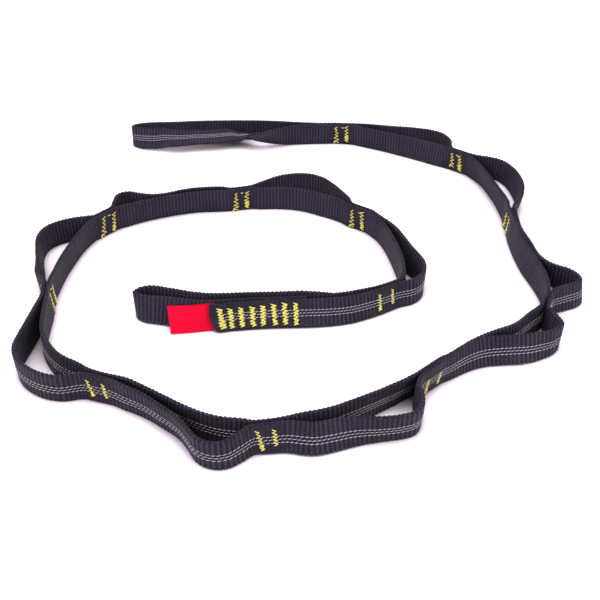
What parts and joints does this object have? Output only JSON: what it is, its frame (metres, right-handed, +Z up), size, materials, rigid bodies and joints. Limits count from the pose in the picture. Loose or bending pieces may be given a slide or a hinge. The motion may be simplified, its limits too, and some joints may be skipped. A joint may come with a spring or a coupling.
{
  "type": "climbing daisy chain",
  "caption": "Climbing daisy chain: a ring of ribbed webbing on edge, bar-tacked into a chain of pockets, with a lapped eye and an end loop.",
  "frame": {"origin": "centre of the coil's bounding box, on the surface that the webbing's edges stand on", "axes": "+Z up across the webbing's width, +Y from the front of the coil to its back (its longest side), +X to the right in the picture"},
  "size_m": [0.3216, 0.356, 0.0161],
  "materials": {
    "webbing": "charcoal ribbed nylon webbing",
    "thread": "yellow polyester sewing thread",
    "label": "red woven label"
  },
  "bodies": {
    "chain": {"spine_strand_01": "webbing", "spine_strand_02": "webbing", "spine_strand_03": "webbing", "spine_strand_04": "webbing", "spine_strand_05": "webbing", "spine_strand_06": "webbing", "spine_strand_07": "webbing", "spine_strand_08": "webbing", "spine_strand_09": "webbing", "spine_strand_10": "webbing", "spine_strand_11": "webbing", "pocket_strand_01": "webbing", "pocket_strand_02": "webbing", "pocket_strand_03": "webbing", "pocket_strand_04": "webbing", "pocket_strand_05": "webbing", "pocket_strand_06": "webbing", "pocket_strand_07": "webbing", "pocket_strand_08": "webbing", "pocket_strand_09": "webbing", "pocket_strand_10": "webbing", "pocket_strand_11": "webbing", "bar_tack_pair_01": "thread", "bar_tack_pair_02": "thread", "bar_tack_pair_03": "thread", "bar_tack_pair_04": "thread", "bar_tack_pair_05": "thread", "bar_tack_pair_06": "thread", "bar_tack_pair_07": "thread", "bar_tack_pair_08": "thread", "bar_tack_pair_09": "thread", "bar_tack_pair_10": "thread", "bar_tack_pair_11": "thread", "bar_tack_pair_12": "thread", "eye_neck_inner": "webbing", "eye_neck_outer": "webbing", "end_loop_neck_inner": "webbing", "end_loop_neck_outer": "webbing"},
    "inner_eye": {"splice_front_layer": "webbing", "eye_second_layer": "webbing", "eye_back_strand": "webbing", "label_tab": "label", "splice_tack_1": "thread", "splice_tack_2": "thread", "splice_tack_3": "thread", "splice_tack_4": "thread", "splice_tack_5": "thread", "splice_tack_6": "thread", "splice_tack_7": "thread", "splice_tack_8": "thread"},
    "label_flap": {"label": "label"},
    "end_loop": {"end_loop_front": "webbing", "end_loop_back": "webbing"}
  },
  "joints": [
    {"name": "inner_eye_fold", "type": "hinge", "parent": "chain", "child": "inner_eye", "pos_m": [0.04114, -0.05775, 0.008], "axis": [0, 0, 1], "range_deg": [-45, 25], "deforming": ["eye_neck_inner", "eye_neck_outer"]},
    {"name": "label_flap", "type": "hinge", "parent": "inner_eye", "child": "label_flap", "pos_m": [-0.04794, -0.07018, 0.008], "axis": [0, 0, 1], "range_deg": [-6, 70]},
    {"name": "end_loop_fold", "type": "hinge", "parent": "chain", "child": "end_loop", "pos_m": [0.02262, 0.17007, 0.008], "axis": [0, 0, 1], "range_deg": [-90, 30], "deforming": ["end_loop_neck_inner", "end_loop_neck_outer"]}
  ]
}
